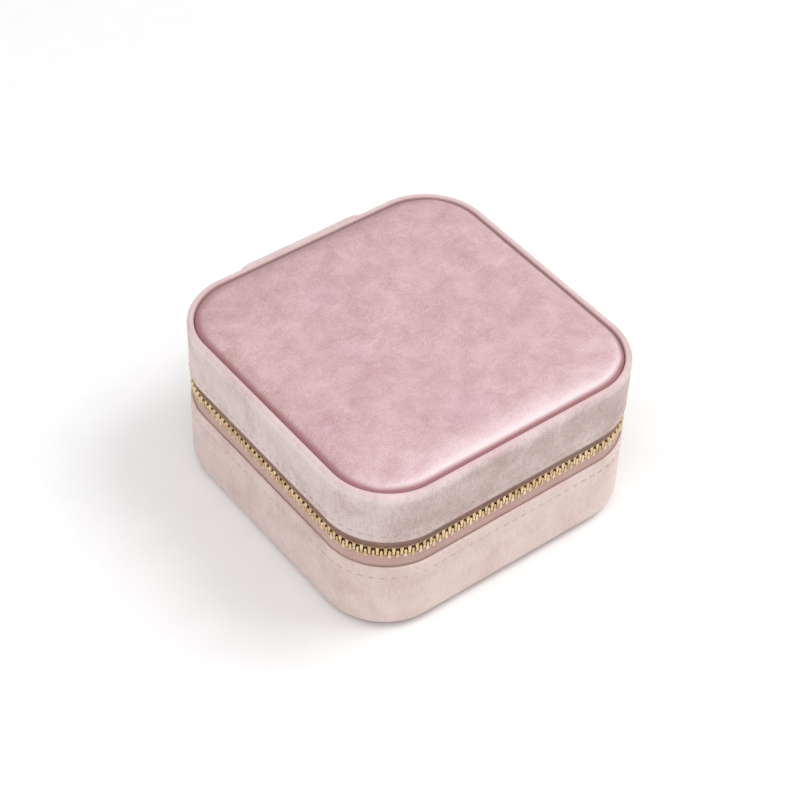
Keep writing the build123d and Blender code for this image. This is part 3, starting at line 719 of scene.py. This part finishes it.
def swell(made, pinned, cap):
    """Puffs a stuffed piece up by cloth simulation; no point moves further than cap."""
    start = positions(made)
    group = made.vertex_groups.new(name="sewn")
    group.add([int(k) for k in np.flatnonzero(pinned)], 1.0, "REPLACE")
    cloth = made.modifiers.new("stuffing", "CLOTH")
    cloth.settings.vertex_group_mass = group.name
    cloth.settings.use_pressure = True
    cloth.settings.uniform_pressure_force = PRESSURE
    cloth.settings.effector_weights.gravity = 0.0
    scene = bpy.context.scene
    for number in range(1, SIMULATED_FRAMES + 1):
        scene.frame_set(number)
    view = made.evaluated_get(bpy.context.evaluated_depsgraph_get())
    found = np.array([v.co for v in view.data.vertices])
    scene.frame_set(1)
    made.modifiers.remove(cloth)
    made.vertex_groups.clear()
    moved = found - start
    far = np.maximum(np.linalg.norm(moved, axis=1, keepdims=True) / cap, 1e-9)
    move_points(made, start + moved * np.tanh(far) / far)


def roughen(made, size, depth, seed, above):
    """Moves the points higher than above along their normals by smooth noise."""
    points = positions(made)
    normals = np.array([v.normal for v in made.data.vertices])
    push = waves(points, size, seed) * depth * (points[:, 2] > above)
    move_points(made, points + normals * push[:, None])


def refine(made):
    """One subdivision, applied."""
    made.modifiers.new("finer", "SUBSURF").levels = 1
    view = made.evaluated_get(bpy.context.evaluated_depsgraph_get())
    mesh = bpy.data.meshes.new_from_object(view)
    made.modifiers.clear()
    made.data = mesh


def dome(border, width, height, power=2.0):
    """Height that rises from 0 at the border to a plateau, rounded like a stuffed edge."""
    t = 1 - np.clip(border / width, 0, 1)
    return height * (1 - t**power) ** (1 / power)


PAD_EDGE = RIM_TOP - 1.1 * MM  # where the pad's skin goes down into the seam
PAD_CROWN = CROWN + 0.5 * MM  # top of the pile in the middle
CROWN_DROP = 0.5 * MM  # how much the plateau falls off from the middle to the sides
EDGE_SHARE, EDGE_ROLL = 0.42, 3.5 * MM  # the steep part of the stuffed edge
CROWN_SHARE, CROWN_ROLL, CROWN_POWER = 0.58, 12 * MM, 1.9  # and the broad part above it
PAD_CELL, PAD_PINNED, PAD_SWELL = 2.0 * MM, 1.5 * MM, 0.25 * MM
PAD_BUMPS = ((0.1, 17, 4), (0.03, 3, 7))  # depth and size in millimetres, seed
PILE = 0.15 * MM
PAD_SKIN = 0.75 * MM
FOAM_GAP = 0.5 * MM


def pad_height(x, y, border, low, high):
    """Height of the pad: stuffed edges all round, nearly flat in the middle."""
    fall = CROWN_DROP * (np.hypot(x, y) / PAD_HALF) ** 2
    rise = high - low - np.minimum(fall, 2 * CROWN_DROP)
    steep = EDGE_SHARE * rise * dome(border, EDGE_ROLL, 1.0)
    return low + steep + CROWN_SHARE * rise * dome(border, CROWN_ROLL, 1.0, CROWN_POWER)


def make_pad():
    """Domed velvet pad on top of the lid, over its foam."""
    half, radius = PAD_HALF + 0.05 * MM, CORNER - PAD_INSET
    x, y, border = rounded_grid(half, half, radius, PAD_CELL)
    z = pad_height(x, y, border, PAD_EDGE, PAD_CROWN - PILE)
    pad = piece("lid_pad", closed_sheet("lid_pad", x, y, z, x * 0 + PAD_LOW), top_velvet)
    pinned = np.tile(border.ravel() < PAD_PINNED, 2)
    pinned[border.size:] = True
    swell(pad, pinned, PAD_SWELL)
    refine(pad)
    for depth, size, seed in PAD_BUMPS:
        roughen(pad, size * MM, depth * MM, seed, PAD_EDGE)
    finish_piece(pad, "lid", ["lid_top_cover"])
    x, y, border = rounded_grid(half - PAD_SKIN, half - PAD_SKIN, radius - PAD_SKIN, 1.5 * PAD_CELL)
    z = pad_height(x, y, border, PAD_EDGE - FOAM_GAP, CROWN - PAD_SKIN - FOAM_GAP)
    mesh = closed_sheet("pad_foam", x, y, z, x * 0 + PAD_LOW)
    piece("pad_foam", mesh, foam, "lid", ["lid_top_foam"])


make_pad()


# ---- zip ----

TOOTH_DEPTH = 1.9 * MM
TOOTH_PITCH = 2.1 * MM
CHAIN_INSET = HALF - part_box("zip_teeth_lower")[1].x + TOOTH_DEPTH / 2
CHAIN_START = -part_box("zip_bottom_stop")[0].x + 0.25 * MM
CHAIN_END = 3 * (SIDE + TURN) - SIDE / 2 + HALF - CORNER + 26.5 * MM
TAPE_END = CHAIN_START - 1.65 * MM
TAIL_START = CHAIN_END + 6.3 * MM  # where the tape's thick corded edge ends
TOOTH_BEVEL, TOOTH_TILT, TILT_CHANGE = 0.09 * MM, 0.02, 900
TAPE_BUMPS = ((0.07, 9, 0), (0.02, 2, 0))
TAPE_THICK = 0.5  # in millimetres, like the other numbers of its section
WEB = (2.35, 2.85)  # insets of the part of the tape that is tucked between the boards


def chain_places(first):
    """Places on the outline of one row's teeth, evenly spaced along the middle of the chain."""
    s = np.linspace(CHAIN_START, CHAIN_END, 4000)
    points, normals = outline(s)
    middle = points - normals * CHAIN_INSET
    along = np.append(0, np.cumsum(np.linalg.norm(np.diff(middle, axis=0), axis=1)))
    count = int(along[-1] / TOOTH_PITCH)
    return np.interp((np.arange(count) + first) * TOOTH_PITCH, along, s)


def tooth():
    """One zip tooth pointing up: x along the chain, y up, z outwards, with narrowed faces."""
    half = [(0.44, -2.0), (0.5, -1.1), (0.4, -0.6), (0.32, -0.2), (0.44, 0.12), (0.44, 0.5), (0.26, 0.8)]
    ring = np.array(half + [(-x, y) for x, y in reversed(half)]) * MM
    centre, count = ring.mean(0), len(ring)
    layers = [(-0.95, 0.8), (-0.82, 1.0), (-0.3, 1.0), (0.3, 1.0), (0.8, 1.0), (0.95, 0.8)]
    points = [(*(centre + (p - centre) * scale), depth * MM) for depth, scale in layers for p in ring]
    faces = ring_faces(len(layers), count)
    faces.append(tuple(reversed(range(count))))
    faces.append(tuple((len(layers) - 1) * count + k for k in range(count)))
    return np.array(points), faces


def make_teeth(name, first, up, body, node):
    """One row of teeth; up is 1 if their heads point up and -1 if down."""
    shape, shape_faces = tooth()
    points, faces = [], []
    for place in chain_places(first):
        (px, py), (nx, ny) = outline(place)
        tilt = TOOTH_TILT * noise.noise(Vector((place * TILT_CHANGE, up, 0)))
        x = shape[:, 0] + tilt * shape[:, 1]
        across = shape[:, 2] - CHAIN_INSET
        height = CHAIN + up * shape[:, 1]
        start = len(points)
        points += list(np.stack([px - ny * x + nx * across, py + nx * x + ny * across, height], -1))
        faces += [tuple(start + k for k in (f if up > 0 else reversed(f))) for f in shape_faces]
    made = piece(name, face_outwards(new_mesh(name, points, faces)), tooth_metal, body, [node])
    soften(made, "soft_edges", TOOTH_BEVEL)


def tape_section(up, edge, outer, cord):
    """Section of a tape: tucked between the boards, out through the gap, up to its edge."""
    seam = BASE_RIM if up > 0 else LID_EDGE
    tuck, root, neck = ((seam + up * rise * MM) / MM for rise in (-6.0, -0.75, -0.25))
    edge, face, back = edge / MM, outer / MM, outer / MM + TAPE_THICK
    low = edge - up * 1.0
    return rounded([
        (WEB[1], tuck, 0), (WEB[1], root + up * 0.45, 0.3), (back, neck + up * 0.4, 0.2), (back, low, 0.2),
        (back + 0.25 * cord, low + up * 0.2, 0.1), (back + 0.25 * cord, edge, 0.25),
        (face - 0.45 * cord, edge, 0.25), (face - 0.45 * cord, low + up * 0.2, 0.1), (face, low, 0.2),
        (face, root, 0.3), (WEB[0], root, 0.3), (WEB[0], tuck, 0),
    ], 0.4)


def make_tapes():
    """The two fabric tapes, each with a corded edge under the teeth, and their bare tails."""
    end = PERIMETER - TAPE_END
    runs = {
        "zip_tape_lower": (1, "base", TAPE_END, tape_cloth, TAPE_INSET),
        # the upper tape wears the painted-shade copy of the tape cloth
        "zip_tape_upper": (-1, "lid", CHAIN_START, tape_in_shadow, TAPE_INSET + 0.25 * MM),
    }
    for name, (up, body, begin, cloth, outer) in runs.items():
        parts = (
            (name, 1.15, 1, np.linspace(begin, TAIL_START, 560), 20, [name]),
            (name + "_tail", 0.12, 0.2, np.linspace(TAIL_START, end, 120), 24, []),
        )
        for part, drop, cord, places, seed, nodes in parts:
            section = tape_section(up, CHAIN - up * drop * MM, outer, cord)
            mesh = swept(part, section, places, False, slack(TAPE_BUMPS, up + seed))
            piece(part, mesh, cloth, body, nodes)


make_teeth("teeth_lower", 0.25, 1, "base", "zip_teeth_lower")
make_teeth("teeth_upper", 0.75, -1, "lid", "zip_teeth_upper")
make_tapes()


# ---- hinge patch ----


SWAP_YZ = Matrix(((1, 0, 0, 0), (0, 0, 1, 0), (0, 1, 0, 0), (0, 0, 0, 1)))  # stands a sheet up


def upright(mesh, place):
    """Moves a sheet made lying flat to stand at a place."""
    mesh.transform(place @ SWAP_YZ)
    return face_outwards(mesh)


PATCH_RADIUS, PATCH_CELL = 6 * MM, 0.7 * MM
PATCH_BORDER, PATCH_ROLL, PATCH_POWER = 0.45 * MM, 1.8 * MM, 2.2
FOLD_DEPTH, FOLD_WIDTH = 0.45 * MM, 1.6 * MM
PATCH_BUMPS = ((0.07, 8, 0), (0.02, 1.6, 2))


def make_patch():
    """Velvet patch over the hinge: padded by its two boards, thin at the border and at the fold."""
    low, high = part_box("hinge_patch_cover")
    fold = (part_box("hinge_board_lower")[1].z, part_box("hinge_board_upper")[0].z)
    half_z, middle, thick = (high.z - low.z) / 2, (high.z + low.z) / 2, high.y - low.y
    x, z, border = rounded_grid(high.x, half_z, PATCH_RADIUS, PATCH_CELL)
    out = PATCH_BORDER + dome(border, PATCH_ROLL, thick - 0.5 * MM, PATCH_POWER)
    out = out - FOLD_DEPTH * dip(z + middle, sum(fold) / 2, FOLD_WIDTH)
    out = out + uneven(np.stack([x, z, x * 0], -1), PATCH_BUMPS, 31) * MM
    mesh = closed_sheet("hinge_patch", x, z + middle, np.minimum(out, thick), x * 0)
    mesh = upright(mesh, Matrix.Translation((0, low.y, 0)))
    made = piece("hinge_patch", mesh, patch_velvet, None, ["hinge_patch_cover"])
    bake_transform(made)


make_patch()


# ---- linings ----


LINING_BUMPS = ((0.06, 12, 0), (0.02, 1.5, 0))
LINING_PLACES, LINING_STEP = 420, 0.8
SKIN_CELL, SKIN_ROLL, SKIN_SUNK, SKIN_WAVE = 1.6 * MM, 1.2 * MM, 0.12 * MM, 0.06 * MM
WRAP_RADIUS, WRAP_CELL, WRAP_ROLL, WRAP_EDGE = 0.9 * MM, 0.6 * MM, 1.1 * MM, 0.3 * MM


def make_wall_lining(node, body, seed):
    """Lining of a wall, folded over the edge of the inner board where the case parts."""
    low, high = (corner.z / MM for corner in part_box(node))
    outer = (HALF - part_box(node)[1].x) / MM
    back, face, fold = outer + 1.05, outer + 1.65, 0.55  # in millimetres, like the section
    if body == "base":
        section = [
            (face, low, 0), (face, high, 0.5), (outer, high, 0.25), (outer, high - fold, 0),
            (back, high - fold, 0), (back, low, 0),
        ]
    else:
        section = [
            (face, low, 0.5), (face, high, 0), (back, high, 0), (back, low + fold, 0),
            (outer, low + fold, 0), (outer, low, 0.25),
        ]
    places = np.linspace(0, PERIMETER, LINING_PLACES, endpoint=False)
    mesh = swept(node + "_skin", rounded(section, LINING_STEP), places, push=slack(LINING_BUMPS, seed))
    piece(node + "_skin", mesh, lining_velvet, body, [node])


def make_flat_skin(node, paint, body, seen_from):
    """Flat velvet skin with softened borders; seen_from is 1 from above and -1 from below."""
    low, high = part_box(node)
    radius = CORNER - (HALF - high.x)
    x, y, border = rounded_grid(high.x, high.y, radius, SKIN_CELL)
    wave = waves(np.stack([x, y, x * 0], -1), 14 * MM, 51)
    sunk = SKIN_SUNK * (1 - dome(border, SKIN_ROLL, 1.0)) + SKIN_WAVE * (1 + wave)
    top = high.z - (sunk if seen_from > 0 else 0)
    bottom = low.z + (sunk if seen_from < 0 else 0)
    mesh = closed_sheet(node + "_skin", x, y, top + x * 0, bottom + x * 0)
    piece(node + "_skin", mesh, paint, body, [node])


def make_divider(node, body, along_x):
    """Board wrapped in velvet: soft edges and slightly puffed faces."""
    low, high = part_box(node)
    centre = (low + high) / 2
    length = (high.x - low.x) if along_x else (high.y - low.y)
    thick = (high.y - low.y) if along_x else (high.x - low.x)
    x, z, border = rounded_grid(length / 2, (high.z - low.z) / 2, WRAP_RADIUS, WRAP_CELL)
    here = np.stack([x, z, x * 0 + centre.y], -1)
    full = thick / 2 - 0.08 * MM + 0.04 * MM * waves(here, 9 * MM, 61)
    puff = WRAP_EDGE + (full - WRAP_EDGE) * dome(border, WRAP_ROLL, 1.0)
    puff = np.minimum(puff, thick / 2)
    mesh = closed_sheet(node + "_skin", x, z, puff, -puff)
    turn = Matrix.Rotation(0 if along_x else math.pi / 2, 4, "Z")
    mesh = upright(mesh, Matrix.Translation(centre) @ turn)
    piece(node + "_skin", mesh, lining_velvet, body, [node])


make_wall_lining("base_wall_lining", "base", 41)
make_wall_lining("lid_wall_lining", "lid", 43)
make_flat_skin("base_floor_lining", lining_velvet, "base", 1)
make_flat_skin("lid_panel_lining", lining_velvet, "lid", -1)
make_flat_skin("base_bottom_cover", patch_velvet, "base", -1)
make_divider("centre_divider_cover", "base", False)
make_divider("removable_divider_a_cover", "removable_divider_a", True)
make_divider("removable_divider_b_cover", "removable_divider_b", True)


# ---- ring rolls ----

CAVITY_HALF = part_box("base_wall_lining")[1].x - 1.75 * MM
ROLLS = [f"ring_roll_{number}" for number in range(1, 8)]
MIDDLE_ROLL = ROLLS[3]
ROLL_SWELL, ROLL_FOOT = 0.3 * MM, 1.0 * MM
ROLL_BUMPS = ((0.16, 7, 0), (0.04, 2, 0))
PLEAT_DEPTH, PLEAT_REACH, PLEAT_SIZE, PLEAT_SEED = 0.25, 3 * MM, 2.4 * MM, 5


def loaf(length, width, height):
    """Rolled cushion lying along X: round on top, square at the foot, domed at its ends."""
    stations, around, end_size = 31, 36, 0.18
    t = np.linspace(-1, 1, stations)
    shrink = (1 - abs(t) ** 9) ** 0.5 * (1 - end_size) + end_size
    turn = np.linspace(0, 2 * math.pi, around, endpoint=False)
    c, s = np.cos(turn), np.sin(turn)
    half, middle = width / 2, height - width / 2
    y = half * np.sign(c) * abs(c) ** 0.8
    z = np.where(s > 0, half * abs(s) ** 0.9, -middle * abs(s) ** 0.35)
    points = [(t[k] * length / 2, y[j] * shrink[k], middle + z[j] * shrink[k])
              for k in range(stations) for j in range(around)]
    faces = ring_faces(stations, around)
    for k, step in ((0, 1), (stations - 1, -1)):
        points.append((t[k] * length / 2, 0, middle))
        for j in range(around):
            pair = (k * around + j, k * around + (j + 1) % around)
            faces.append((len(points) - 1, *(pair if step < 0 else pair[::-1])))
    return points, faces


def confine(points, half, radius):
    """Keeps points inside a rounded square about the middle of the case."""
    corner = half - radius
    away = np.maximum(abs(points[:, :2]) - corner, 0)
    far = np.hypot(away[:, 0], away[:, 1])
    scale = np.where(far > radius, radius / np.maximum(far, 1e-9), 1)
    inside = np.minimum(abs(points[:, :2]), corner) + away * scale[:, None]
    points[:, :2] = np.sign(points[:, :2]) * inside
    return points


def make_rolls():
    """Seven stuffed velvet rolls; one is simulated and laid seven times with small differences."""
    low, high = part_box(MIDDLE_ROLL)
    size = high - low
    points, faces = loaf(size.x - 0.2 * MM, size.y - 0.5 * MM, size.z - 0.5 * MM)
    roll = piece("roll", face_outwards(new_mesh("roll", points, faces)), lining_velvet)
    swell(roll, np.array(points)[:, 2] < ROLL_FOOT, ROLL_SWELL)
    refine(roll)
    base = positions(roll)
    normals = np.array([v.normal for v in roll.data.vertices])
    for number, node in enumerate(ROLLS):
        near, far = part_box(node)
        place = np.array([(low.x + high.x) / 2, (near.y + far.y) / 2, near.z])
        gather = 0.5 + 0.5 * waves(base + number, PLEAT_SIZE, PLEAT_SEED)
        pleat = -PLEAT_DEPTH * dip(abs(base[:, 0]), size.x / 2, PLEAT_REACH) * gather
        push = (uneven(base + number, ROLL_BUMPS, number) + pleat) * MM
        moved = base + normals * push[:, None] * (base[:, 2:] > ROLL_FOOT) + place
        moved = confine(moved, CAVITY_HALF, CAVITY_HALF - (HALF - CORNER))
        moved[:, 2] = np.clip(moved[:, 2], near.z, far.z)
        name = node + "_cushion"
        made = piece(name, roll.data.copy(), lining_velvet, "base", [node])
        move_points(made, moved)
    bpy.data.objects.remove(roll)


make_rolls()


# ---- pocket ----


RUFFLE_DEPTH, RUFFLE_COARSE, RUFFLE_FINE = 0.34 * MM, 3.1 * MM, 1.9 * MM
POCKET_RADIUS, POCKET_THICK, POCKET_START = 10.5 * MM, 0.5 * MM, 4.6 * MM
HEM_HALF, HEM_HEIGHT, HEM_SQUARE = 2.35 * MM, 0.75 * MM, 0.7


def ruffle(x, share):
    """Folds of gathered cloth across the pocket, up to half a millimetre either way."""
    shift = 1.3 * waves(np.stack([x, x * 0, x * 0], -1), 9 * MM, 71)
    coarse = np.sin(x / RUFFLE_COARSE * 2 * math.pi + shift * 2.5)
    fold = coarse + 0.35 * np.sin(x / RUFFLE_FINE * 2 * math.pi - shift)
    return RUFFLE_DEPTH * fold * share


def make_hem(half_x):
    """The pocket's mouth: cloth folded over the elastic."""
    low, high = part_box("pocket_elastic")
    centre_y, centre_z = (low.y + high.y) / 2, (low.z + high.z) / 2
    stations, around = 460, 20
    points = []
    for place in np.linspace(-1, 1, stations):
        x = place * (half_x - 0.3 * MM)
        fold = float(ruffle(np.array([x]), np.array([1.0]))[0]) / 2
        pinch = min(1.0, (1 - abs(place)) * 30 + 0.35)
        for j in range(around):
            c, s = math.cos(j / around * 2 * math.pi), math.sin(j / around * 2 * math.pi)
            out = math.copysign(abs(c) ** HEM_SQUARE, c) * (HEM_HALF + fold / 4)
            up = math.copysign(abs(s) ** HEM_SQUARE, s) * HEM_HEIGHT * pinch + fold * pinch
            points.append((x, centre_y + out, centre_z + up))
    faces = ring_faces(stations, around)
    faces += [tuple(range(around)), tuple((stations - 1) * around + j for j in reversed(range(around)))]
    mesh = face_outwards(new_mesh("pocket_hem", points, faces))
    return piece("pocket_hem", mesh, lining_velvet, "lid")


def make_pocket():
    """Gathered velvet pocket on the lid's ceiling, its mouth drawn in by elastic."""
    low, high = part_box("lid_pocket")
    mouth_z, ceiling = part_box("pocket_elastic")[1].z + 0.75 * MM, high.z - 0.2 * MM
    across, along, radius, length = 300, 44, POCKET_RADIUS, high.y - low.y
    u, v = np.meshgrid(np.linspace(-1, 1, across), np.linspace(0, 1, along), indexing="ij")
    y = low.y + POCKET_START + v * (length - POCKET_START)
    bend = np.clip((y - (high.y - radius)) / radius, 0, 1)
    x = u * (high.x - radius + radius * np.sqrt(1 - bend**2 * 0.999))
    side = (1 - abs(u)) * high.x
    puff = dome(side, 7 * MM, 1.0) * dome((1 - v) * length, 9 * MM, 1.0)
    z = ceiling - 0.4 * MM - puff * (ceiling - mouth_z - 0.5 * MM)
    folds = ruffle(x, (1 - v) ** 0.8 * 0.9 + 0.12)
    z = np.minimum(z + folds * np.minimum(puff * 1.4, 1), high.z - 0.35 * MM)
    mesh = closed_sheet("pocket", x, y, z + POCKET_THICK / 2, z - POCKET_THICK / 2)
    pocket = piece("pocket", mesh, lining_velvet, "lid", ["lid_pocket"])
    hem = make_hem(high.x)


make_pocket()


# ---- gusset behind the hinge ----


GUSSET_THICK, GUSSET_CELL, GUSSET_PLACES = 0.5 * MM, 0.5 * MM, 80
GUSSET_TUCK, GUSSET_WAVE = 1.95 * MM, 0.06 * MM
SEAM_GAP = 0.25 * MM


def gusset_path(low, high, lower, upper):
    """The strip's middle line, as (y, z): up behind the boards, out, across the gap and back in."""
    tuck, face = high.y - GUSSET_TUCK - GUSSET_THICK / 2, high.y - GUSSET_THICK / 2
    spine = [(tuck, low.z), (tuck, lower + GUSSET_THICK / 2), (face, lower + GUSSET_THICK / 2)]
    spine += [(face, upper - GUSSET_THICK / 2), (tuck, upper - GUSSET_THICK / 2), (tuck, high.z)]
    path = []
    for (y0, z0), (y1, z1) in zip(spine, spine[1:]):
        parts = max(2, round(math.hypot(y1 - y0, z1 - z0) / GUSSET_CELL))
        path += [(y0 + (y1 - y0) * k / parts, z0 + (z1 - z0) * k / parts) for k in range(parts)]
    path = np.array(path + [spine[-1]])
    for _ in range(3):
        path[1:-1] = (path[:-2] + 2 * path[1:-1] + path[2:]) / 4
    return path


def make_gusset():
    """Strip of velvet that closes the gap behind the hinge, sewn between the walls' boards."""
    low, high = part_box("hinge_gusset")
    lower, upper = BASE_RIM + SEAM_GAP, LID_EDGE - SEAM_GAP
    path = gusset_path(low, high, lower, upper)
    way = np.gradient(path, axis=0)
    across = np.stack([way[:, 1], -way[:, 0]], -1) / np.linalg.norm(way, axis=1)[:, None]
    stations = np.linspace(low.x, high.x, GUSSET_PLACES)
    x, k = np.meshgrid(stations, np.arange(len(path)), indexing="ij")
    wave = GUSSET_WAVE * waves(np.stack([x, path[k, 0], path[k, 1]], -1), 6 * MM, 81)
    grids = [path[k] + across[k] * (side * GUSSET_THICK / 2 + wave)[..., None] for side in (1, -1)]
    points = np.concatenate([np.concatenate([x[..., None], grid], -1).reshape(-1, 3) for grid in grids])
    mesh = face_outwards(new_mesh("gusset", points, shell_faces(*x.shape)))
    gusset = piece("gusset", mesh, patch_velvet, None, ["hinge_gusset"])
    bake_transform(gusset)


make_gusset()


# ---- carried-over CAD nodes ----

CARRIED = {
    board: [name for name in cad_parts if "board" in name],
    foam: ["ring_roll_support"],
    plating: [
        "zip_top_stop_lower", "zip_top_stop_upper", "zip_bottom_stop", "slider_body", "slider_bridge",
        "pull_link", "pull_tab",
    ],
    glue_tape: ["mirror_adhesive"],
    mirror: ["mirror_glass"],
    covered_elastic: ["pocket_elastic"],
}

for paint, names in CARRIED.items():
    for name in names:
        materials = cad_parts[name].data.materials
        materials.clear()
        materials.append(paint)

SOFTENED = {
    "slider_body": 0.22, "slider_bridge": 0.12, "pull_link": 0.1, "pull_tab": 0.14,
    "zip_bottom_stop": 0.08, "mirror_glass": 0.3,
}  # width in millimetres of the rounded edges of the polished pieces

for name, width in SOFTENED.items():
    soften(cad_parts[name], "rounded_edges", width * MM, harden=True)
